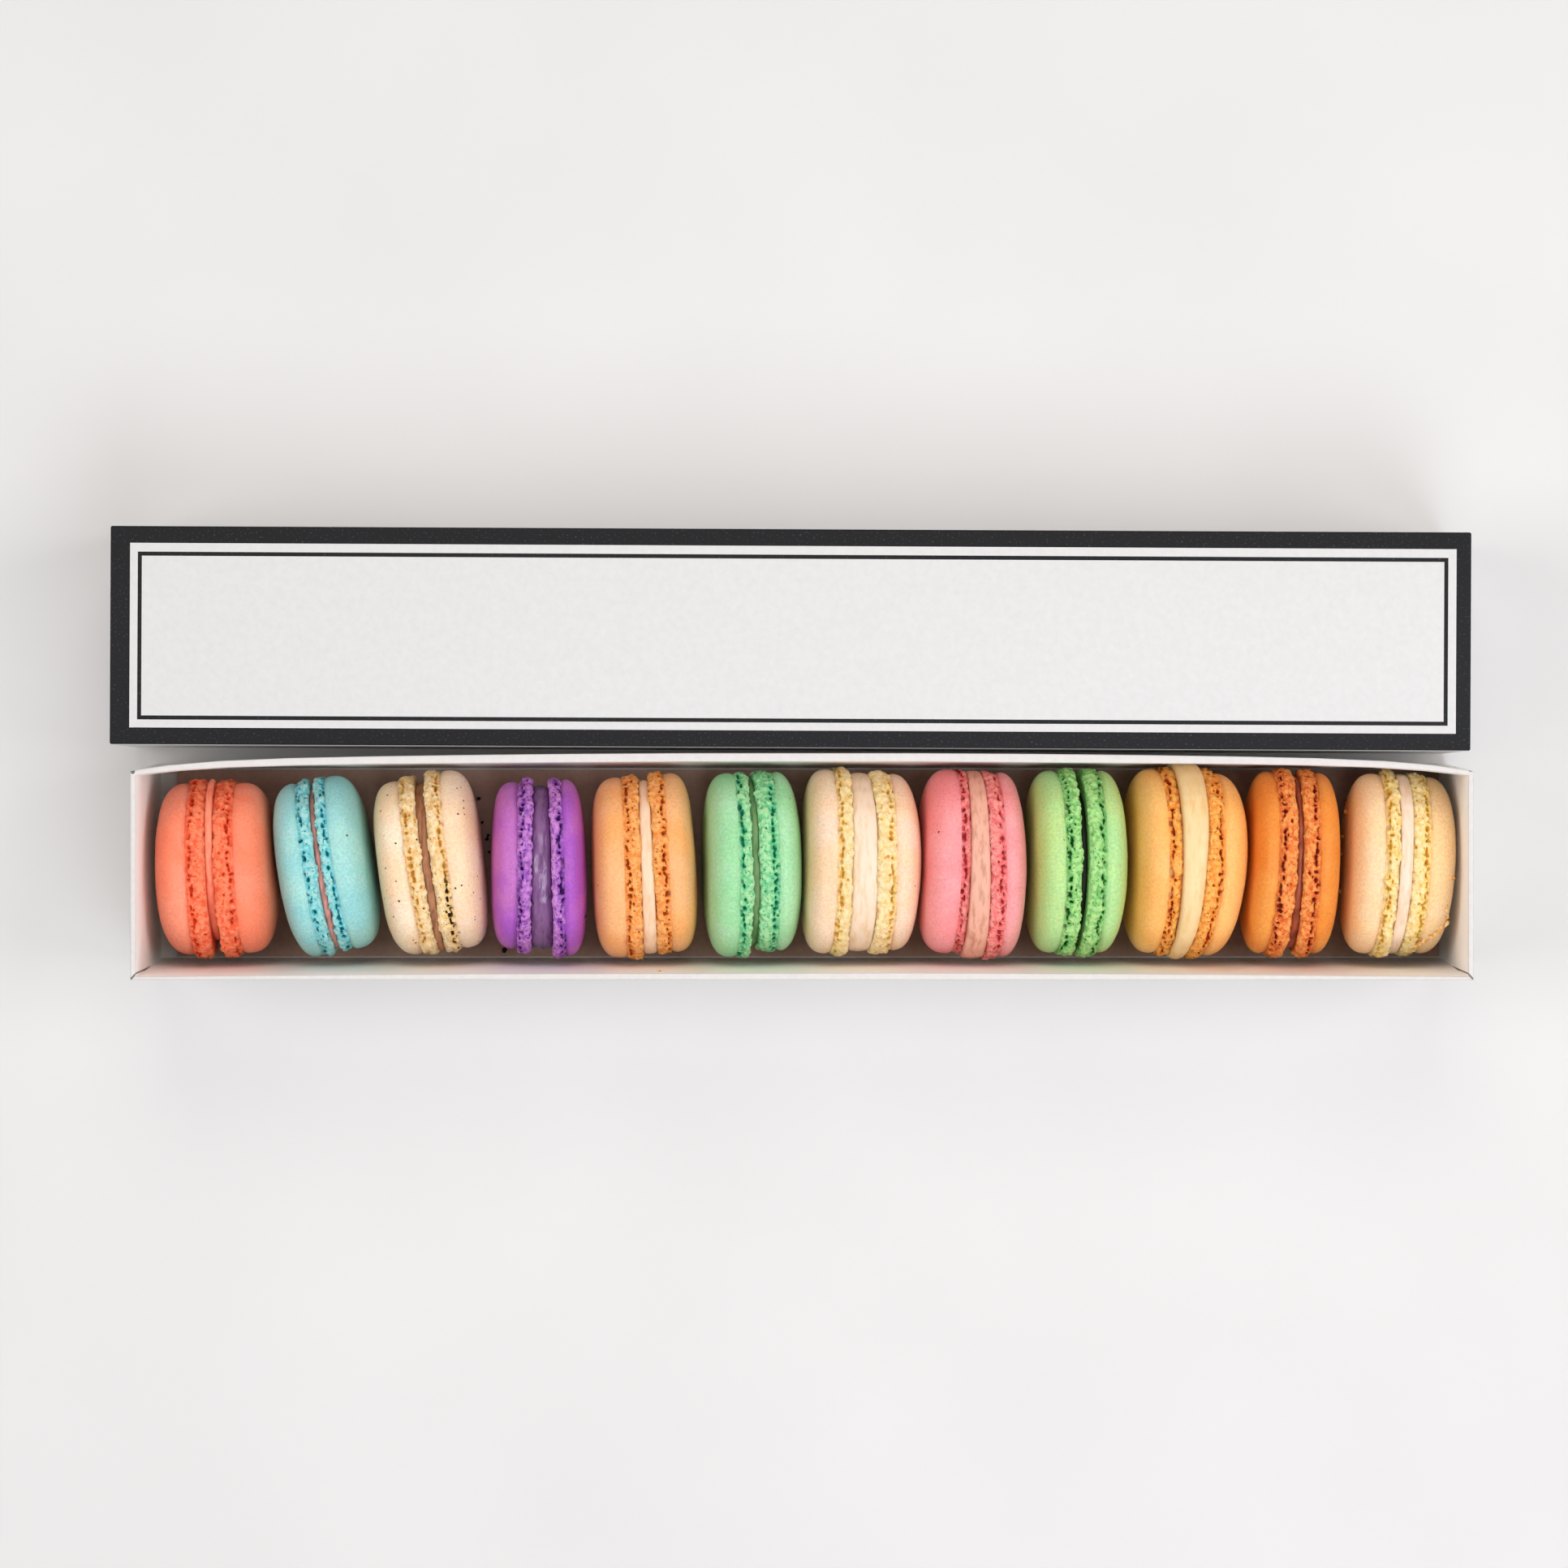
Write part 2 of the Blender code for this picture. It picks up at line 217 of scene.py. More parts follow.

# puff: fullness of each dome's outline. lift: how far the filling stands out at its rear, front and
# top, mm. round: how deep its edge curves in beside the shells, mm. crown: a tint multiplied over the upper
# dome
# halo: a deeper tone among the foot's crumbs, also painted into its creases and round its holes as painted
# shade. pit: painted shade in the holes
macarons = [
    {"colour": "coral", "dome": "#ff8c6a", "blush": "#ff9c7e", "foot": "#fb8c66", "halo": "#f05a34",
     "pit": "#c83412", "filling": "#f49272", "stain": "#e7613a", "gloss": 0.5, "specks": 0.05,
     "puff": (2.9, 3.1), "lift": (0.9, 0.0, 1.9), "round": 0.5, "crown": "#fff4ee", "slant": 1.0},
    {"colour": "aqua", "dome": "#98d5d7", "blush": "#aadcd7", "foot": "#a8dcda", "halo": "#57c4cd",
     "pit": "#0c6c78", "filling": "#d49086", "stain": "#92605b", "gloss": 0.5, "specks": 0.15,
     "puff": (3.0, 3.2), "lift": (0.0, 0.9, 0.2), "round": 0.5, "crown": "#f2faf6"},
    {"colour": "vanilla", "dome": "#fcdab7", "blush": "#fce7cd", "foot": "#f8dcb2", "halo": "#e8ba72",
     "pit": "#c88c34", "filling": "#ae7852", "stain": "#754930", "gloss": 0.6, "specks": 2.4,
     "char": (-80.5, -30),
     "puff": (3.2, 3.3), "lift": (0.3, 0.3, 0.3), "round": 0.5, "crown": "#fff4e8"},
    {"colour": "violet", "dome": "#af5fc8", "blush": "#c476c4", "foot": "#c88ad2", "halo": "#823caa",
     "pit": "#340650", "filling": "#80558a", "stain": "#5d3a67", "gloss": 0.14, "specks": 0.1,
     "puff": (3.4, 3.0), "lift": (0.0, 0.0, 0.0), "round": 1.7, "crown": "#ffe8f2", "shine": 1.0},
    {"colour": "apricot", "dome": "#fab370", "blush": "#fabc85", "foot": "#f8b36e", "halo": "#ed8631",
     "pit": "#a03c08", "filling": "#f3d3b4", "stain": "#edbf99", "gloss": 0.4, "specks": 0.05,
     "puff": (3.4, 3.3), "lift": (0.2, 0.6, 1.0), "round": 0.6, "crown": "#fff6f0"},
    {"colour": "mint", "dome": "#a1dca8", "blush": "#b1e3b8", "foot": "#ace0aa", "halo": "#48ba80",
     "pit": "#067050", "filling": "#719462", "stain": "#487144", "gloss": 0.6, "specks": 0.05,
     "puff": (3.3, 2.7), "lift": (0.2, 0.0, 0.2), "round": 0.5, "crown": "#f6fcf0"},
    {"colour": "cream", "dome": "#f9d3ad", "blush": "#fadbc2", "foot": "#fbe0b2", "halo": "#efca7e",
     "pit": "#d8a240", "filling": "#f2dac3", "stain": "#e6c59e", "gloss": 0.45, "specks": 0.08,
     "puff": (3.6, 3.0), "lift": (0.3, 0.3, 0.7), "round": 0.5, "crown": "#fff8ec"},
    {"colour": "rose", "dome": "#f9969a", "blush": "#f9a6aa", "foot": "#f69a94", "halo": "#e86468",
     "pit": "#a82a2a", "filling": "#e9ae98", "stain": "#ca8b75", "gloss": 0.5, "specks": 0.1,
     "puff": (3.5, 2.9), "lift": (1.0, 0.9, 1.3), "round": 0.5, "crown": "#fff4f2"},
    # pistachio: the filling and its stain are near black as painted shade, for the dark gap between its
    # shells
    {"colour": "pistachio", "dome": "#bfe096", "blush": "#b4e29e", "foot": "#b0e092", "halo": "#62b45e",
     "pit": "#0e4c14", "filling": "#1a2212", "stain": "#0b1009", "gloss": 0.6, "specks": 0.08,
     "puff": (3.4, 2.9), "lift": (0.0, 0.0, 0.0), "round": 0.5, "crown": "#fffcdc"},
    {"colour": "golden", "dome": "#ffbb6a", "blush": "#ffc57b", "foot": "#fab660", "halo": "#ec8427",
     "pit": "#962c04", "filling": "#eed29e", "stain": "#e9c386", "gloss": 0.4, "specks": 0.0,
     "puff": (3.3, 2.8), "lift": (1.6, 1.0, 1.2), "round": 1.0, "crown": "#fffaf4"},
    {"colour": "orange", "dome": "#ee933d", "blush": "#f1a44f", "foot": "#f8a35b", "halo": "#d75b1e",
     "pit": "#701002", "filling": "#a25236", "stain": "#68291a", "gloss": 0.35, "specks": 0.0,
     "puff": (3.4, 3.0), "lift": (0.5, 0.5, 0.6), "round": 0.9, "crown": "#fff8f0"},
    {"colour": "peach", "dome": "#fcd29c", "blush": "#fcd8ae", "foot": "#fbe0ac", "halo": "#eec66a",
     "pit": "#cf962c", "filling": "#f3dac5", "stain": "#e7c39e", "gloss": 0.4, "specks": 0.0,
     "puff": (3.4, 2.9), "lift": (0.6, 0.6, 1.1), "round": 0.5, "crown": "#fff8ea"},
]


def readShell(name):
    # the CAD shell's own middle, axis and rings: its flat underside is its largest plane
    solid = mergedCopy(name)
    areas = defaultdict(float)
    for face in solid.faces:
        areas[tuple(round(c, 3) for c in face.normal)] += face.calc_area()
    under = Vector(max(areas, key=areas.get)).normalized()
    flat = [face for face in solid.faces if face.normal.dot(under) > 0.9999]
    total = sum(face.calc_area() for face in flat)
    centre = sum((face.calc_center_median() * face.calc_area() for face in flat), Vector()) / total
    axis = -under
    places = sorted(((vert.co - centre).dot(axis), (vert.co - centre).cross(axis).length)
                    for vert in solid.verts)
    rings = [[places[0]]]
    for place in places[1:]:
        if place[0] - rings[-1][-1][0] > 0.004 * mm:
            rings.append([])
        rings[-1].append(place)
    rings = [ring for ring in rings if len(ring) >= 28]
    waist = rings[-4][0]  # the dome has three rings above the crease where it meets the foot
    shape = {"centre": centre, "axis": axis, "foot": waist[0], "waist": waist[1],
             "height": places[-1][0], "crest": max(radius for _, radius in rings[0]) + 0.7 * mm}
    solid.free()
    return shape


def shellProfile(shape, puff):
    # radius and height from the middle of the underside, over the foot, to the top of the dome
    look = shellLook
    foot, crest = shape["foot"], shape["crest"]
    shoulder = shape["waist"] + look["overhang"] * mm
    dome = shape["height"] - foot
    # the foot's edge: how far it lies inside the crest in mm, and its height as a share of the foot
    turn = [(crest - back * mm, share * foot) for back, share in
            ((1.6, 0), (0.8, 0.02), (0.22, 0.14), (0, 0.38), (0.04, 0.66), (0.25, 0.86))]
    turn.append((shape["waist"] - look["step"] * mm, foot))
    fine = [(0, 0), (crest * 0.5, 0), (crest - 3 * mm, 0), *turn]
    count = look["domeRings"]
    base, climb = foot + look["step"] * mm, dome - look["step"] * mm
    for i in range(count + 1):
        angle = math.pi / 2 * i / count
        across = math.cos(angle) ** (2 / puff)
        up = math.sin(angle) ** (2 / puff)
        curl = look["curl"] * mm * (1 - smooth(0, look["curlHeight"] * mm, dome * up))
        fine.append((shoulder * across - curl if i < count else 0, base + climb * up))
    points = [fine[0], fine[1], fine[2]]
    for radius, height in fine[3:]:
        last = points[-1]
        far = math.hypot(radius - last[0], height - last[1])
        wanted = look["footSpacing"]
        if height >= foot + 1.5 * mm:
            wanted = mix(look["edgeSpacing"], look["domeSpacing"], smooth(1, 0.4, radius / crest))
        count = max(1, round(far / (wanted * mm)))
        if far < 0.6 * wanted * mm and radius > 0:
            continue
        for k in range(1, count + 1):
            points.append((mix(last[0], radius, k / count), mix(last[1], height, k / count)))
    return points


def turned(name, points, steps):
    # turns an open profile of (radius, height) about Z into a closed skin
    profile = bmesh.new()
    verts = [profile.verts.new((radius, 0, height)) for radius, height in points]
    for pair in zip(verts, verts[1:]):
        profile.edges.new(pair)
    outline = bpy.data.meshes.new("outline")
    profile.to_mesh(outline)
    profile.free()
    lathe = bpy.data.objects.new("lathe", outline)
    bpy.context.scene.collection.objects.link(lathe)
    screw = lathe.modifiers.new("turning", "SCREW")
    screw.steps = screw.render_steps = steps
    screw.use_merge_vertices = True
    screw.merge_threshold = 0.002 * mm
    screw.use_smooth_shade = True
    skin = bpy.data.meshes.new_from_object(lathe.evaluated_get(bpy.context.evaluated_depsgraph_get()))
    skin.name = name
    bpy.data.objects.remove(lathe, do_unlink=True)
    bpy.data.meshes.remove(outline)
    shape = bmesh.new()
    shape.from_mesh(skin)
    bmesh.ops.remove_doubles(shape, verts=shape.verts, dist=0.002 * mm)
    bmesh.ops.recalc_face_normals(shape, faces=shape.faces)
    shape.to_mesh(skin)
    shape.free()
    return skin


def pointsOf(mesh, layer="vertices", value="co"):
    found = np.empty(len(mesh.vertices) * 3)
    getattr(mesh, layer).foreach_get(value, found)
    return found.reshape(-1, 3)


def rowOfGaps(turn, height, level, count, seed):
    # burst bubbles side by side round the foot: 1 at the middle of one, 0 at its edge, below 0 outside
    best = np.full(len(turn), -3.0)
    for step in (-1, 0, 1):
        cell = np.floor(turn * count) + step
        key = np.stack([np.mod(cell, count), np.full(len(turn), seed), np.zeros(len(turn))], axis=-1)
        shift, rise, length, width, shown = (scatter(key, 30 + k) for k in range(5))
        along = (turn * count - cell - 0.5 - 0.5 * (shift - 0.5)) / (0.22 + 0.4 * length)
        up = (height - level - 0.8 * (rise - 0.5)) / (0.25 + 0.4 * width)
        best = np.maximum(best, np.where(shown < shellLook["gapShown"], 1 - np.hypot(along, up), -3))
    return best


def frill(at, shape, seed):
    # at: points of a shell in mm. Gives how far each moves out (mm), how deep it lies in a burst bubble
    # and how near it is to a crease between crumbs
    look = shellLook
    foot, crest = shape["foot"] / mm, shape["crest"] / mm
    level = at[:, 2] / foot
    where = at + seed
    rim = smooth(crest - 2.2, crest - 0.9, np.hypot(at[:, 0], at[:, 1]))
    onFoot = rim * (1 - smooth(0.94, 1.06, level))
    slow = waves(where * 0.3) + 0.6 * waves(where * 0.7, 1)
    lump = bubbles(where / look["lumpSize"], 10)[0]
    grit = bubbles(where / look["gritSize"], 50)[0]
    turn = np.arctan2(at[:, 1], at[:, 0]) / (2 * math.pi) + 0.5
    row = foot - 0.16 * foot - 0.2 + 0.35 * waves(where * 0.25, 2)
    gap = rowOfGaps(turn, at[:, 2], row, round(2 * math.pi * crest / look["gapSpacing"]), seed[0])
    near, own = bubbles(where * (1, 1, 1.2) / look["pitSize"], 20)
    size = 0.14 + 0.34 * ((own * 7.13) % 1) ** 2
    crowded = 0.2 + 0.5 * smooth(0.2, 0.75, level) + 0.25 * waves(where * 0.35, 7)
    pit = np.where(own < crowded, 1 - near / size, -3)
    out = onFoot * (look["ruffle"] * slow + look["lump"] * (0.55 - lump) + look["grit"] * (0.5 - grit))
    out -= onFoot * (look["gapDepth"] * smooth(-0.25, 0.7, gap) + look["pitDepth"] * smooth(-0.3, 0.6, pit))
    onDome = smooth(1.0, 1.35, level)
    out += onDome * look["unevenness"] * (waves(where * 0.07, 3) + 0.35 * waves(where * 0.2, 4))
    out += onDome * 0.03 * waves(where * 1.1, 5)
    ragged = 0.45 * waves(where * 1.9, 8) + 0.25 * waves(where * 3.7, 9)
    crease = smooth(0.42, 0.95, lump + 0.35 * (grit - 0.5)) * onFoot
    return out, np.clip(np.maximum(gap, pit) + ragged, -2, 1) * rim - 2 * (1 - rim), crease


def buildShell(name, shape, number, material, puff):
    mesh = turned(name, shellProfile(shape, puff), shellLook["steps"])
    at = pointsOf(mesh) / mm
    out = pointsOf(mesh, "vertex_normals", "vector")
    seed = np.array((number * 37.3, number * 11.7, number * 5.1))
    moved, pit, crease = frill(at, shape, seed)
    edge = 0.2 * waves((at + seed) * 0.6, 6)
    foot = shape["foot"] / mm
    zone = 1 - smooth(foot - 0.15, foot + 0.12, at[:, 2] + edge)
    rise = (at[:, 2] - foot) / (shape["height"] / mm - foot)
    crown = smooth(0.3, 1.05, rise + 0.12 * waves((at + seed) * 0.15, 11))
    for layer, values in (("pit", pit), ("crease", crease), ("zone", zone), ("crown", crown)):
        mesh.attributes.new(layer, "FLOAT", "POINT").data.foreach_set("value", values)
    at += out * moved[:, None]
    mesh.vertices.foreach_set("co", (at * mm).ravel())
    axis = shape["axis"]
    up = (Vector((0, 0, 1)) - axis * axis.z).normalized()
    turn = Matrix((up, axis.cross(up), axis)).transposed().to_4x4()
    mesh.transform(Matrix.Translation(shape["centre"]) @ turn)
    return addPiece(name, mesh, material, [name])


def shellMaterial(look):
    # baked almond meringue: a dry matt skin with a fine grain; its foot is painted darker and more
    # saturated in its creases, round its holes and in them, as painted shade
    material, tree, shader = newMaterial("bakedMeringue-" + look["colour"])
    place = addNode(tree, "TexCoord").outputs["Object"]
    zone = addNode(tree, "Attribute", attribute_name="zone").outputs["Fac"]
    pit = addNode(tree, "Attribute", attribute_name="pit").outputs["Fac"]
    crease = addNode(tree, "Attribute", attribute_name="crease").outputs["Fac"]
    cloud = addNode(tree, "TexNoise", {"Vector": place, "Scale": 1 / (shellLook["cloud"] * mm),
                                       "Detail": 2}).outputs["Fac"]
    cloudMask = addNode(tree, "ValToRGB", {"Fac": cloud},
                        [(0.40, grey(0)), (0.60, grey(1))]).outputs["Color"]
    dome = addNode(tree, "Mix", {0: cloudMask, 6: toLinear(look["dome"]), 7: toLinear(look["blush"])},
                   data_type="RGBA").outputs[2]
    almond = addNode(tree, "TexNoise", {"Vector": place, "Scale": 1 / (shellLook["almond"] * mm),
                                        "Detail": 3, "Roughness": 0.6}).outputs["Fac"]
    almondTone = addNode(tree, "ValToRGB", {"Fac": almond},
                         [(0.3, grey(0.84)), (0.7, grey(1.08))]).outputs["Color"]
    dome = addNode(tree, "Mix", {0: 1.0, 6: dome, 7: almondTone},
                   data_type="RGBA", blend_type="MULTIPLY").outputs[2]
    crown = addNode(tree, "Attribute", attribute_name="crown").outputs["Fac"]
    dome = addNode(tree, "Mix", {0: crown, 6: dome, 7: toLinear(look["crown"])},
                   data_type="RGBA", blend_type="MULTIPLY").outputs[2]
    crumb = addNode(tree, "TexNoise", {"Vector": place, "Scale": 1 / (shellLook["crumb"] * mm),
                                       "Detail": 4, "Roughness": 0.65}).outputs["Fac"]
    crumbTone = addNode(tree, "ValToRGB", {"Fac": crumb},
                        [(0.36, toLinear(look["halo"])), (0.46, toLinear(look["foot"])),
                         (0.60, toLinear(look["foot"])), (0.74, toLinear(look["blush"]))]).outputs["Color"]
    # painted shade: the halo colour darkens the creases between crumbs
    inCrease = addNode(tree, "Math", {0: crease, 1: 0.75}, operation="MULTIPLY").outputs[0]
    crumbTone = addNode(tree, "Mix", {0: inCrease, 6: crumbTone, 7: toLinear(look["halo"])},
                        data_type="RGBA").outputs[2]
    # painted shade: the halo colour round each hole
    nearPit = addNode(tree, "MapRange", {"Value": pit, "From Min": -1.2, "From Max": 0.1,
                                         "To Max": 0.8}).outputs[0]
    foot = addNode(tree, "Mix", {0: nearPit, 6: crumbTone, 7: toLinear(look["halo"])},
                   data_type="RGBA").outputs[2]
    # painted shade: the pit colour fills the holes, and dark specks from noise stand for the finest holes
    tiny = addNode(tree, "TexNoise", {"Vector": place, "Scale": 1 / (shellLook["pinhole"] * mm),
                                      "Detail": 2, "Roughness": 0.5}).outputs["Fac"]
    tinyPit = addNode(tree, "MapRange", {"Value": tiny, "From Min": 0.37, "From Max": 0.31,
                                         "To Max": 0.75}).outputs[0]
    deep = addNode(tree, "MapRange", {"Value": pit, "From Min": -0.05, "From Max": 0.3}).outputs[0]
    holes = addNode(tree, "Math", {0: deep, 1: tinyPit}, operation="MAXIMUM").outputs[0]
    foot = addNode(tree, "Mix", {0: holes, 6: foot, 7: toLinear(look["pit"])},
                   data_type="RGBA").outputs[2]
    if "char" in look:
        # vanilla seeds show black in the holes of one stretch of a foot
        parts = addNode(tree, "SeparateXYZ", {"Vector": place})
        right, front = look["char"]
        inX = addNode(tree, "Math", {0: parts.outputs["X"], 1: right * mm},
                      operation="GREATER_THAN").outputs[0]
        inY = addNode(tree, "MapRange", {"Value": parts.outputs["Y"], "From Min": (front + 3) * mm,
                                         "From Max": front * mm}).outputs[0]
        black = addNode(tree, "Math", {0: inX, 1: inY}, operation="MULTIPLY").outputs[0]
        black = addNode(tree, "Math", {0: black, 1: holes}, operation="MULTIPLY").outputs[0]
        foot = addNode(tree, "Mix", {0: black, 6: foot, 7: toLinear(shellLook["seedColour"])},
                       data_type="RGBA").outputs[2]
    colour = addNode(tree, "Mix", {0: zone, 6: dome, 7: foot}, data_type="RGBA").outputs[2]
    if look["specks"]:
        bean = addNode(tree, "TexVoronoi", {"Vector": place, "Scale": 1 / (shellLook["speckSpacing"] * mm),
                                            "Randomness": 1.0}, distance="EUCLIDEAN")
        near = addNode(tree, "Math", {0: bean.outputs["Distance"], 1: shellLook["speckSize"]},
                       operation="LESS_THAN").outputs[0]
        pick = addNode(tree, "SeparateColor", {"Color": bean.outputs["Color"]}).outputs["Red"]
        chosen = addNode(tree, "Math", {0: pick, 1: 0.34 * look["specks"]},
                         operation="LESS_THAN").outputs[0]
        mask = addNode(tree, "Math", {0: near, 1: chosen}, operation="MULTIPLY").outputs[0]
        colour = addNode(tree, "Mix", {0: mask, 6: colour, 7: toLinear(shellLook["speckColour"])},
                         data_type="RGBA").outputs[2]
    tree.links.new(colour, shader.inputs["Base Color"])
    grain = addNode(tree, "TexNoise", {"Vector": place, "Scale": 1 / (shellLook["grain"] * mm),
                                       "Detail": 4, "Roughness": 0.6}).outputs["Fac"]
    depth = addNode(tree, "Math", {0: zone, 1: 0.34, 2: 0.13}, operation="MULTIPLY_ADD").outputs[0]
    bump = addNode(tree, "Bump", {"Height": grain, "Strength": depth,
                                  "Distance": shellLook["grainDepth"] * mm}).outputs["Normal"]
    rough = addNode(tree, "MapRange", {"Value": zone, "To Min": 0.43, "To Max": 0.85}).outputs[0]
    tree.links.new(bump, shader.inputs["Normal"])
    tree.links.new(rough, shader.inputs["Roughness"])
    shader.inputs["IOR"].default_value = 1.45
    shader.inputs["Specular IOR Level"].default_value = 0.3
    shader.inputs["Subsurface Weight"].default_value = 0.6  # sugar lets red light through most
    shader.inputs["Subsurface Radius"].default_value = (1.0, 0.45, 0.2)
    shader.inputs["Subsurface Scale"].default_value = 3.0 * mm
    return material


# fillings: piped butter cream or ganache, pressed flat between the undersides of the shells

fillingLook = {
    "steps": 220,       # facets round a filling
    "rings": 14,        # across its edge
    "swell": 0.45,      # mm, how far the edge bulges
    "ripple": 0.26,     # mm, waves round it
    "streak": 2.5,      # mm, width of the streaks from spreading
}


def buildFilling(name, left, right, material, number, look):
    low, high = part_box(name)
    radius = (high[2] - low[2]) / 2 - 0.4 * mm
    middle = Vector(((low[0] + high[0]) / 2, (low[1] + high[1]) / 2, (low[2] + high[2]) / 2))
    axis = (right["axis"] - left["axis"]).normalized()
    up = (Vector((0, 0, 1)) - axis * axis.z).normalized()
    side = axis.cross(up)
    seed = np.array((number * 13.1, number * 7.7, 3.3))
    profile = [(0, -1), (radius * 0.6, -1), (radius * 0.9, -1)]
    rings = fillingLook["rings"]
    for i in range(rings + 1):
        angle = math.pi * (i / rings - 0.5)
        bulge = (look["round"] + fillingLook["swell"]) * math.cos(angle) ** 0.6
        profile.append((radius + (bulge - look["round"]) * mm, math.sin(angle)))
    profile += [(radius * 0.9, 1), (radius * 0.6, 1), (0, 1)]
    mesh = turned(name, [(r, z * mm) for r, z in profile], fillingLook["steps"])
    at = pointsOf(mesh) / mm
    share = (at[:, 2] + 1) / 2
    around = at * (1, 1, 0)
    far = np.linalg.norm(around, axis=1)
    rough = 1.4 * waves(around * 0.12 + seed)
    rough = rough + 0.6 * waves(around * 0.5 + seed + np.outer(share, (0, 0, 1.2)), 1)
    far = np.maximum(far, 1)
    rear, front, top = look["lift"]
    toFront, toTop = at[:, 1] / far, at[:, 0] / far
    lift = rear * np.maximum(-toFront, 0) + front * np.maximum(toFront, 0)
    lift += top * np.maximum(toTop - look.get("slant", 0) * toFront, 0)
    grow = 1 + smooth(0.85, 1, far * mm / radius) * fillingLook["ripple"] * rough / far
    grow += smooth(0.55, 0.9, far * mm / radius) * lift / far
    start = np.array(middle) + np.outer(at[:, 0] * grow * mm, up) + np.outer(at[:, 1] * grow * mm, side)
    reach = [((np.array(shell["centre"]) - start) @ np.array(shell["axis"])) / axis.dot(shell["axis"])
             for shell in (left, right)]
    start += np.outer(mix(reach[0], reach[1], share), axis)
    mesh.vertices.foreach_set("co", start.ravel())
    return addPiece(name, mesh, material, [name])


def fillingMaterial(look):
    # butter cream or ganache: dense and slightly greasy, with soft streaks from spreading
    material, tree, shader = newMaterial("creamFilling-" + look["colour"])
    place = addNode(tree, "TexCoord").outputs["Object"]
    stretched = addNode(tree, "Mapping", {"Vector": place, "Scale": (2.2, 0.5, 0.5)}).outputs["Vector"]
    streak = addNode(tree, "TexNoise", {"Vector": stretched, "Scale": 1 / (fillingLook["streak"] * mm),
                                        "Detail": 4, "Roughness": 0.6}).outputs["Fac"]
    colour = addNode(tree, "ValToRGB", {"Fac": streak},
                     [(0.32, toLinear(look["stain"])), (0.52, toLinear(look["filling"]))]).outputs["Color"]
    tree.links.new(colour, shader.inputs["Base Color"])
    bump = addNode(tree, "Bump", {"Height": streak, "Strength": 0.25 + 0.4 * look.get("shine", 0),
                                  "Distance": 0.4 * mm}).outputs["Normal"]
    tree.links.new(bump, shader.inputs["Normal"])
    shader.inputs["Roughness"].default_value = look["gloss"]
    shader.inputs["Specular IOR Level"].default_value = 0.5 + 0.5 * look.get("shine", 0)
    shader.inputs["IOR"].default_value = 1.46
    shader.inputs["Subsurface Weight"].default_value = 0.2
    shader.inputs["Subsurface Radius"].default_value = (1.0, 0.7, 0.5)
    shader.inputs["Subsurface Scale"].default_value = 2 * mm
    return material


for number, look in enumerate(macarons, start=1):
    stem = f"macaron_{number:02d}"
    skinMaterial = shellMaterial(look)
    left = readShell(stem + "_left_shell")
    right = readShell(stem + "_right_shell")
    buildShell(stem + "_left_shell", left, 2 * number, skinMaterial, look["puff"][0])
    buildShell(stem + "_right_shell", right, 2 * number + 1, skinMaterial, look["puff"][1])
    buildFilling(stem + "_filling", left, right, fillingMaterial(look),
                 number, look)
print("macarons: 24 shells and 12 fillings")


# crumbs and flakes: bits of shell that rubbed off, lying where they fell

crumbLook = {
    # where each lies, as seen from the camera at the height of the rim (mm across, mm towards the rear),
    # its length, width and thickness (mm) and its turn (degrees)
    # the violet crumbs are coloured far darker than the violet shells, as painted shade of the gap they lie
    # in
    "violetCrumbs": {"colour": "#3a1c34", "shade": "#1c0c18", "slot": "shell_violet", "bits": [
        (-70.8, -10.6, 1.0, 0.8, 0.6, 20), (-70.0, -15.9, 0.8, 0.6, 0.5, 70),
        (-68.9, -19.7, 1.1, 0.8, 0.6, 40), (-68.6, -18.9, 0.7, 0.6, 0.5, 10),
        (-68.4, -22.7, 0.8, 0.6, 0.5, 100), (-64.9, -45.0, 1.5, 1.1, 0.8, 30),
        (-58.6, -34.2, 1.1, 0.8, 0.6, 80), (-46.7, -37.3, 1.3, 0.7, 0.5, 60)]},
    "goldenCrumbs": {"colour": "#e2a04c", "shade": "#b86c20", "slot": "shell_golden", "bits": [
        (125.8, -11.3, 1.6, 1.0, 0.8, 80), (126.3, -13.4, 1.4, 1.2, 0.8, 30),
        (125.4, -19.1, 1.3, 1.0, 0.7, 0), (125.0, -23.1, 1.0, 0.8, 0.6, 90),
        (124.8, -31.6, 1.1, 0.8, 0.6, 50), (150.2, -28.6, 1.3, 1.0, 0.8, 10),
        (-29.7, -49.8, 0.8, 0.6, 0.4, 0)]},
    "brokenFlake": {"colour": "#f8cc8c", "shade": "#d08a3a", "slot": "shell_peach", "bits": [
        (142.2, -43.6, 2.4, 1.2, 0.5, 25), (144.0, -42.7, 2.6, 1.2, 0.5, 30),
        (145.6, -41.5, 2.6, 1.3, 0.5, 38), (147.0, -40.3, 2.6, 1.4, 0.5, 44),
        (148.3, -39.0, 2.6, 1.5, 0.6, 50), (149.3, -38.4, 2.2, 1.7, 0.6, 20),
        (148.9, -36.9, 2.2, 0.9, 0.5, 95), (148.8, -35.4, 1.8, 0.8, 0.5, 85)]},
}


def crumbMaterial(name, look):
    # a broken edge of baked meringue: dry and matt, with darker patches at random
    material, tree, shader = newMaterial(name)
    place = addNode(tree, "TexCoord").outputs["Object"]
    grain = addNode(tree, "TexNoise", {"Vector": place, "Scale": 1 / (0.6 * mm),
                                       "Detail": 3}).outputs["Fac"]
    colour = addNode(tree, "ValToRGB", {"Fac": grain},
                     [(0.4, toLinear(look["shade"])), (0.58, toLinear(look["colour"]))]).outputs["Color"]
    tree.links.new(colour, shader.inputs["Base Color"])
    shader.inputs["Roughness"].default_value = 0.8
    return material


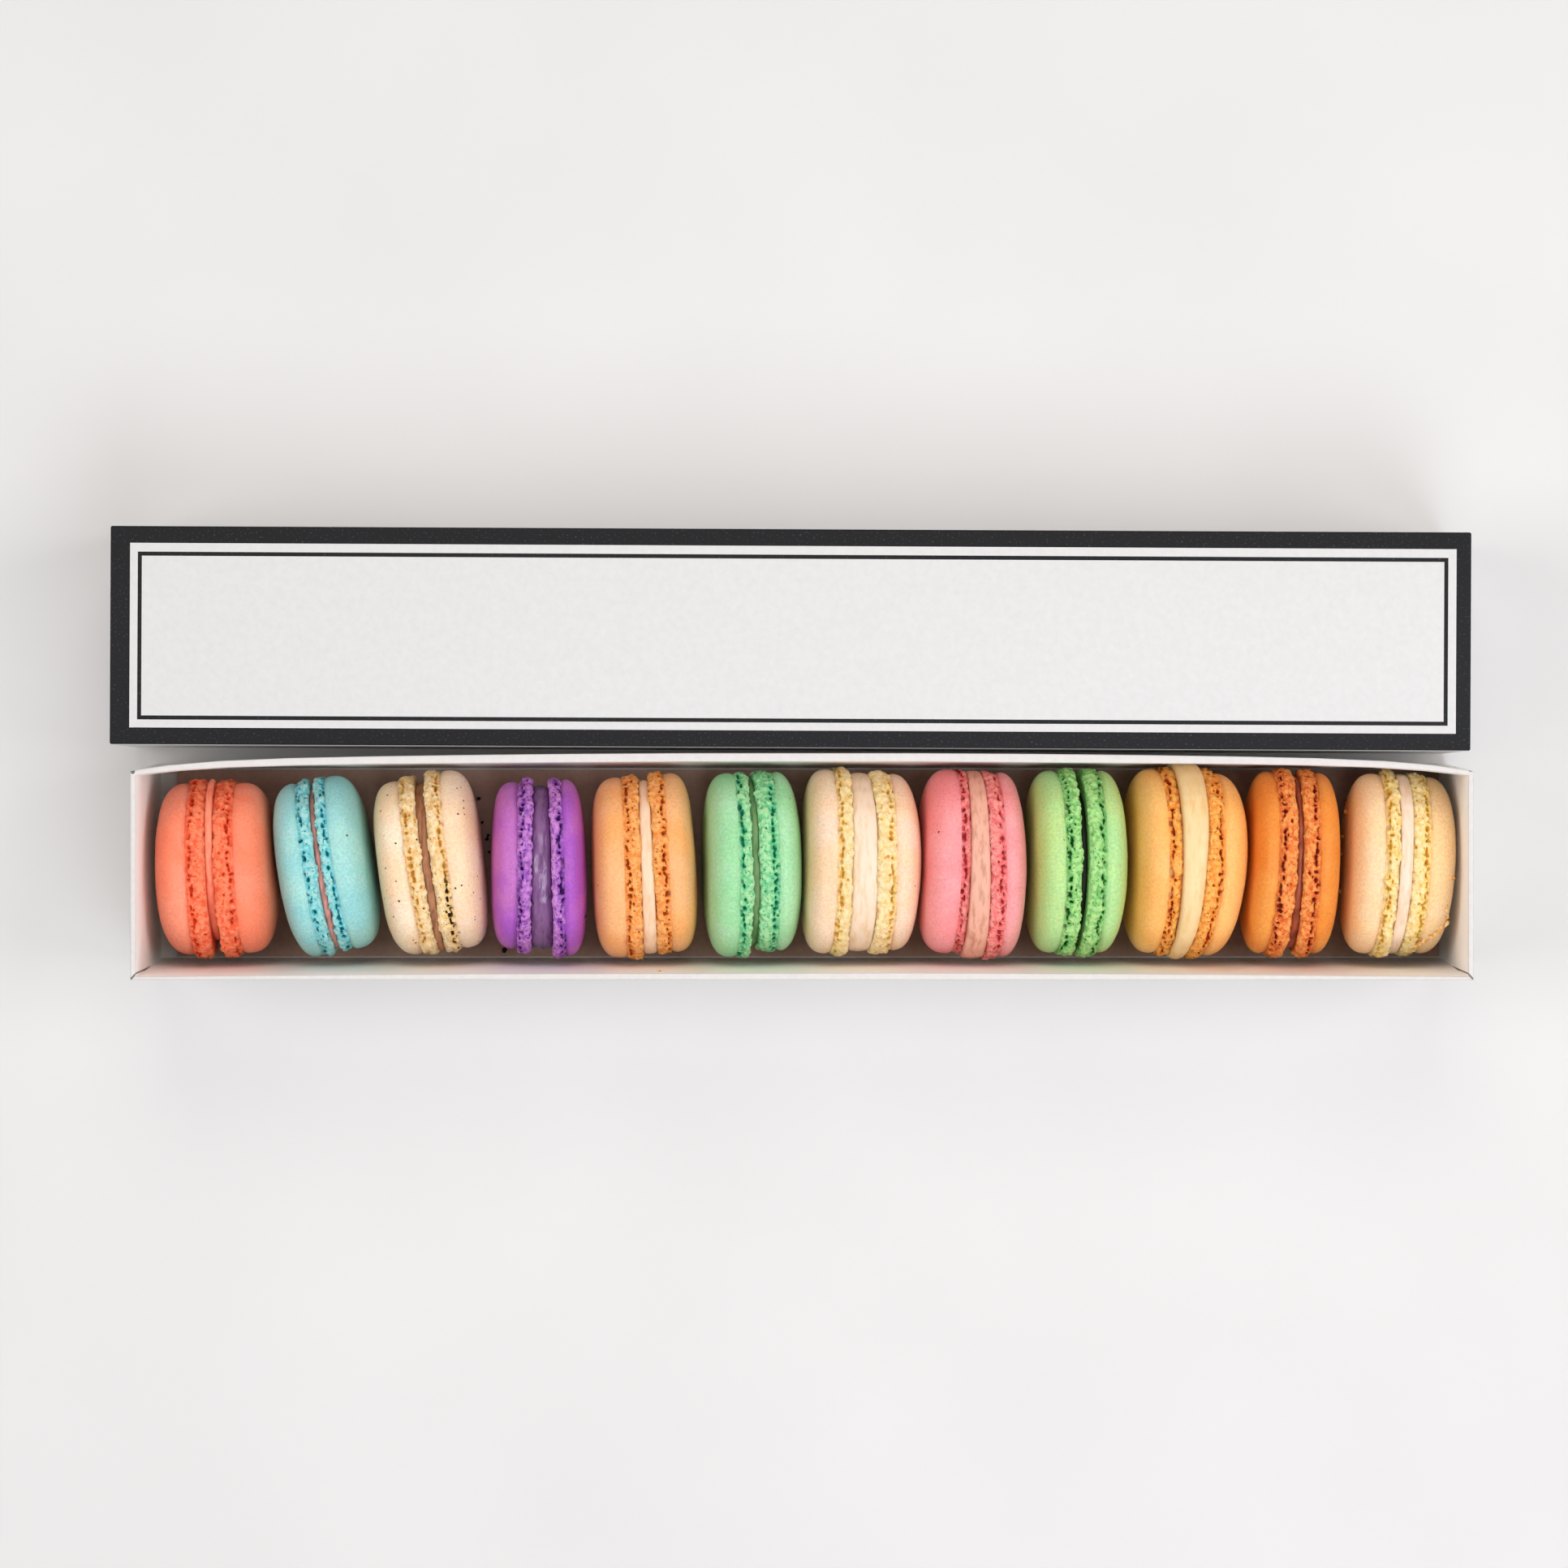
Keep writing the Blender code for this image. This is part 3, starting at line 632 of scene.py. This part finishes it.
def buildCrumbs(names):
    graph = bpy.context.evaluated_depsgraph_get()
    trees = [BVHTree.FromObject(pieces[name], graph) for name in names]
    eye = Vector(cameraLook["at"]) * mm
    for kind, look in crumbLook.items():
        shape = bmesh.new()
        for x, y, *size, turn in look["bits"]:
            way = (Vector((x, y, cameraLook["plane"])) * mm - eye).normalized()
            hits = [hit for hit in (tree.ray_cast(eye, way) for tree in trees) if hit[0]]
            landed = min(hits, key=lambda hit: hit[3])[0] + Vector((0, 0, size[2] * 0.3 * mm))
            at = Matrix.Translation(landed) @ Matrix.Rotation(math.radians(turn), 4, "Z")
            at = at @ Matrix.Diagonal((*[length * mm / 2 for length in size], 1))
            made = bmesh.ops.create_icosphere(shape, subdivisions=3, radius=1, matrix=at)["verts"]
            spots = np.array([vert.co for vert in made]) / mm
            swell = 0.35 * waves(spots * 1.3) + 0.2 * waves(spots * 3.1, 1)
            for vert, amount in zip(made, swell):
                vert.co = landed + (vert.co - landed) * (1 + amount)
        for face in shape.faces:
            face.smooth = True
        addPiece(kind, meshOf(kind, shape), crumbMaterial(kind, look))


# box: white paperboard, scored and folded

boardLook = {
    "pulp": 1.6,       # mm, size of the faint clouds of pulp
    "tooth": 0.2,      # mm, depth of its surface
    "spread": 1.5,     # mm, how far light spreads in it
}


def boardMaterial(name, colour, shade, roughness, glow):
    # coated paperboard: even white with a faint cloudiness of the pulp and a fine tooth
    material, tree, shader = newMaterial(name)
    place = addNode(tree, "TexCoord").outputs["Object"]
    pulp = addNode(tree, "TexNoise", {"Vector": place, "Scale": 1 / (boardLook["pulp"] * mm),
                                      "Detail": 5, "Roughness": 0.7}).outputs["Fac"]
    tone = addNode(tree, "ValToRGB", {"Fac": pulp}, [(0.3, toLinear(shade)), (0.65, toLinear(colour))])
    tree.links.new(tone.outputs["Color"], shader.inputs["Base Color"])
    bump = addNode(tree, "Bump", {"Height": pulp, "Strength": 0.06,
                                  "Distance": boardLook["tooth"] * mm}).outputs["Normal"]
    tree.links.new(bump, shader.inputs["Normal"])
    shader.inputs["Roughness"].default_value = roughness
    shader.inputs["IOR"].default_value = 1.5
    # light spreads a little in the pulp, and reddens on its way
    shader.inputs["Subsurface Weight"].default_value = glow
    shader.inputs["Subsurface Radius"].default_value = (1.0, 0.9, 0.8)
    shader.inputs["Subsurface Scale"].default_value = boardLook["spread"] * mm
    return material, tree, shader, tone.outputs["Color"], place


trayLook = {
    "board": ("#fdfaf6", "#f8f5f1", 0.35),  # colour, shade and glow of the coated walls, painted lighter than the lid's board, as painted light inside the tray
    "fold": ("#ddd9d7", "#d5d1cf", 0.0),    # of the folds and cut edges at the top, near the lid's board and greyer than the walls
    "gap": "#2c241f",          # the dark in open seams and nicks
    "rim": 0.3,                # mm, roundness of the rim
    "seam": 0.22,              # mm, half the width of the open corner seams
    # the inner front corners at the floor and at the rim, and the outer corners at the rim, mm
    "seams": [((-148.6, -49.3, 1), (-148.6, -50.3, 49.8)), ((153.7, -49.3, 1), (153.7, -50.3, 49.8)),
              ((-148.6, -50.3, 50), (-149.9, -51.7, 50)), ((153.7, -50.3, 50), (155.0, -51.7, 50))],
    "nick": 0.5,               # mm, radius of the little holes at the rear corners
    "nicks": [(-149.3, -4.5, 50), (154.3, -4.0, 50)],
}


def nearLine(tree, place, low, high, reach):
    # 1 within reach of the straight line through two points, and between them
    low, high = Vector(low) * mm, Vector(high) * mm
    along = (high - low).normalized()
    off = addNode(tree, "VectorMath", {0: place, 1: low}, operation="SUBTRACT").outputs[0]
    cross = addNode(tree, "VectorMath", {0: off, 1: along}, operation="CROSS_PRODUCT").outputs[0]
    far = addNode(tree, "VectorMath", {0: cross}, operation="LENGTH").outputs["Value"]
    up = addNode(tree, "VectorMath", {0: off, 1: along}, operation="DOT_PRODUCT").outputs["Value"]
    middle = (high - low).length / 2
    inside = addNode(tree, "Math", {0: up, 1: middle, 2: middle}, operation="COMPARE").outputs[0]
    near = addNode(tree, "Math", {0: far, 1: reach * mm}, operation="LESS_THAN").outputs[0]
    return addNode(tree, "Math", {0: near, 1: inside}, operation="MULTIPLY").outputs[0]


def trayMaterial(name, colour, shade, glow):
    material, tree, shader, board, place = boardMaterial(name, colour, shade, 0.55, glow)
    dark = None
    for low, high in trayLook["seams"]:
        mark = nearLine(tree, place, low, high, trayLook["seam"])
        dark = addNode(tree, "Math", {0: dark, 1: mark}, operation="MAXIMUM").outputs[0] if dark else mark
    for spot in trayLook["nicks"]:
        far = addNode(tree, "VectorMath", {0: place, 1: Vector(spot) * mm},
                      operation="DISTANCE").outputs["Value"]
        mark = addNode(tree, "Math", {0: far, 1: trayLook["nick"] * mm}, operation="LESS_THAN").outputs[0]
        dark = addNode(tree, "Math", {0: dark, 1: mark}, operation="MAXIMUM").outputs[0]
    dark = addNode(tree, "Math", {0: dark, 1: 0.8}, operation="MULTIPLY").outputs[0]
    colour = addNode(tree, "Mix", {0: dark, 6: board, 7: toLinear(trayLook["gap"])},
                     data_type="RGBA").outputs[2]
    tree.links.new(colour, shader.inputs["Base Color"])
    return material


def buildTray():
    shape = flatCopy("tray")
    top = max(vert.co.z for vert in shape.verts)
    rim = [edge for edge in shape.edges if min(v.co.z for v in edge.verts) > top - 0.01 * mm
           and edge.calc_face_angle(0) > math.radians(40)]
    bmesh.ops.bevel(shape, geom=rim, offset=trayLook["rim"] * mm, affect="EDGES", segments=3, profile=0.5,
                    material=-1)
    for face in shape.faces:
        low = min(vert.co.z for vert in face.verts)
        face.material_index = int(low > top - 2 * trayLook["rim"] * mm)
    piece = addPiece("tray", meshOf("tray", shape), trayMaterial("whitePaperboard", *trayLook["board"]),
                     ["tray"])
    piece.data.materials.append(trayMaterial("paperboardFold", *trayLook["fold"]))
    sharpEdges(piece, 35)


# the card's warm colour is a painted reflection of the warm light bounced off the macarons
cardLook = {"colour": "#d6b3a0", "shade": "#c9a593", "roughness": 0.75, "glow": 0.0}


def buildCard():
    # uncoated card, painted warm as a painted reflection of the light bounced off the macarons
    material = boardMaterial("cardWithPaintedBounce", *cardLook.values())[0]
    mesh = meshOf("base_card", flatCopy("base_card"))
    sharpEdges(addPiece("base_card", mesh, material, ["base_card"]), 35)


buildTray()
buildCard()
print("tray and card")


# lid: the same board, printed with a charcoal border and a thin line inside it

lidLook = {
    "board": ("#dad9d9", "#d4d3d3", 0.6, 0.0),  # colour, shade, roughness and glow
    "fold": 0.45,                      # mm, radius of its folded edges
    "middle": (-0.04, 25.82),          # mm
    "turn": 0.28,                      # degrees clockwise
    "border": (0.55, -0.01, 150.5, 20.94),   # middle and half sizes of the border's inner edge, mm
    "line": (0.5, -0.1, 148.7, 19.05),       # the line's outer edge
    "lineWidth": 0.93,
    "ink": "#131417",
    "dust": "#404145",                 # pale specks of dust on the ink
}


def frameDistance(tree, across, along, rectangle):
    # how far outside a rectangle a point of the print lies, in mm
    x, y, halfX, halfY = rectangle
    reach = []
    for socket, middle, half in ((across, x, halfX), (along, y, halfY)):
        shifted = addNode(tree, "Math", {0: socket, 1: middle}, operation="SUBTRACT").outputs[0]
        size = addNode(tree, "Math", {0: shifted}, operation="ABSOLUTE").outputs[0]
        reach.append(addNode(tree, "Math", {0: size, 1: half}, operation="SUBTRACT").outputs[0])
    return addNode(tree, "Math", {0: reach[0], 1: reach[1]}, operation="MAXIMUM").outputs[0]


def lidMaterial(topHeight):
    look = lidLook
    material, tree, shader, board, place = boardMaterial("printedPaperboard", *look["board"])
    middle = Vector((*look["middle"], 0)) * mm
    centred = addNode(tree, "Mapping", {"Vector": place, "Location": -middle}).outputs["Vector"]
    squared = addNode(tree, "Mapping", {"Vector": centred, "Rotation": (0, 0, math.radians(look["turn"])),
                                        "Scale": (1000, 1000, 1000)}).outputs["Vector"]
    parts = addNode(tree, "SeparateXYZ", {"Vector": squared})
    border = frameDistance(tree, parts.outputs["X"], parts.outputs["Y"], look["border"])
    line = frameDistance(tree, parts.outputs["X"], parts.outputs["Y"], look["line"])
    inBorder = addNode(tree, "Math", {0: border, 1: 0.0}, operation="GREATER_THAN").outputs[0]
    outer = addNode(tree, "Math", {0: line, 1: 0.0}, operation="LESS_THAN").outputs[0]
    inner = addNode(tree, "Math", {0: line, 1: -look["lineWidth"]}, operation="GREATER_THAN").outputs[0]
    inLine = addNode(tree, "Math", {0: outer, 1: inner}, operation="MULTIPLY").outputs[0]
    printed = addNode(tree, "Math", {0: inBorder, 1: inLine}, operation="MAXIMUM").outputs[0]
    onTop = addNode(tree, "Math", {0: parts.outputs["Z"], 1: topHeight / mm - 0.3},
                    operation="GREATER_THAN").outputs[0]
    printed = addNode(tree, "Math", {0: printed, 1: onTop}, operation="MULTIPLY").outputs[0]
    dust = addNode(tree, "TexNoise", {"Vector": place, "Scale": 1 / (0.5 * mm), "Detail": 3}).outputs["Fac"]
    ink = addNode(tree, "ValToRGB", {"Fac": dust},
                  [(0.6, toLinear(look["ink"])), (0.74, toLinear(look["dust"]))]).outputs["Color"]
    colour = addNode(tree, "Mix", {0: printed, 6: board, 7: ink}, data_type="RGBA").outputs[2]
    tree.links.new(colour, shader.inputs["Base Color"])
    shader.inputs["Specular IOR Level"].default_value = 0.25
    return material


def buildLid():
    shape = flatCopy("lid")
    top = max(vert.co.z for vert in shape.verts)
    low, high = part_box("lid")
    outside = []
    for edge in shape.edges:
        middle = (edge.verts[0].co + edge.verts[1].co) / 2
        outer = (min(middle.x - low[0], high[0] - middle.x) < 1.2 * mm
                 or min(middle.y - low[1], high[1] - middle.y) < 1.2 * mm)
        if edge.calc_face_angle(0) > math.radians(40) and edge.is_convex and outer and middle.z > 1 * mm:
            outside.append(edge)
    bmesh.ops.bevel(shape, geom=outside, offset=lidLook["fold"] * mm, affect="EDGES", segments=3,
                    profile=0.5, material=-1)
    sharpEdges(addPiece("lid", meshOf("lid", shape), lidMaterial(top), ["lid"]), 35)


buildLid()
print("lid")

buildCrumbs(["macaron_03_right_shell", "macaron_04_left_shell", "macaron_04_right_shell",
             "macaron_04_filling", "macaron_12_left_shell", "macaron_12_right_shell", "tray", "base_card"])
print("crumbs")


# table, light and camera

stageLook = {
    "table": "#dedddd", "haze": "#dad9d9",
    "room": (1, 0.975, 0.955, 1), "roomStrength": 0.345,
}


def buildStage():
    table = bmesh.new()
    bmesh.ops.create_grid(table, x_segments=1, y_segments=1, size=3)
    mesh = meshOf("table", table)
    material, tree, shader = newMaterial("mattWhiteTable")
    place = addNode(tree, "TexCoord").outputs["Object"]
    haze = addNode(tree, "TexNoise", {"Vector": place, "Scale": 12, "Detail": 2}).outputs["Fac"]
    tone = addNode(tree, "ValToRGB", {"Fac": haze},
                   [(0.3, toLinear(stageLook["haze"])),
                    (0.7, toLinear(stageLook["table"]))]).outputs["Color"]
    tree.links.new(tone, shader.inputs["Base Color"])
    shader.inputs["Roughness"].default_value = 0.8
    mesh.materials.append(material)
    piece = bpy.data.objects.new("table", mesh)
    bpy.context.scene.collection.objects.link(piece)


lights = [
    # name, azimuth from +X and elevation of the light, its distance and size (m), power (W), colour
    ("window", -65, 58, 1.6, 0.9, 8.2, (0.95, 0.985, 1.05)),
    ("leftFill", 180, 54, 2.6, 1.4, 20.0, (1, 0.98, 0.965)),
    ("rightFill", 0, 50, 1.7, 0.9, 9.3, (1, 0.98, 0.965)),
    ("rearFill", 90, 52, 1.8, 1.1, 7.3, (1, 0.96, 0.92)),
]


def buildLights():
    for name, azimuth, elevation, distance, size, power, colour in lights:
        lamp = bpy.data.lights.new(name, "AREA")
        lamp.shape = "DISK"
        lamp.size = size
        lamp.energy = power
        lamp.color = colour
        holder = bpy.data.objects.new(name, lamp)
        flat = math.cos(math.radians(elevation))
        way = Vector((math.cos(math.radians(azimuth)) * flat, math.sin(math.radians(azimuth)) * flat,
                      math.sin(math.radians(elevation))))
        holder.location = way * distance
        holder.rotation_euler = way.to_track_quat("Z", "Y").to_euler()
        bpy.context.scene.collection.objects.link(holder)
    world = bpy.data.worlds.new("softRoom")
    world.use_nodes = True
    background = world.node_tree.nodes["Background"]
    background.inputs["Color"].default_value = stageLook["room"]
    background.inputs["Strength"].default_value = stageLook["roomStrength"]
    bpy.context.scene.world = world


def buildCamera():
    camera = bpy.data.cameras.new("above")
    camera.sensor_width = 36
    camera.sensor_height = 36
    reach = cameraLook["at"][2] - cameraLook["plane"]
    camera.lens = camera.sensor_width * reach / cameraLook["width"]
    camera.clip_end = 10
    holder = bpy.data.objects.new("above", camera)
    holder.location = Vector(cameraLook["at"]) * mm
    bpy.context.scene.collection.objects.link(holder)
    bpy.context.scene.camera = holder


buildStage()
buildLights()
buildCamera()
bpy.context.scene.view_settings.view_transform = "Standard"
print("table, lights and camera")
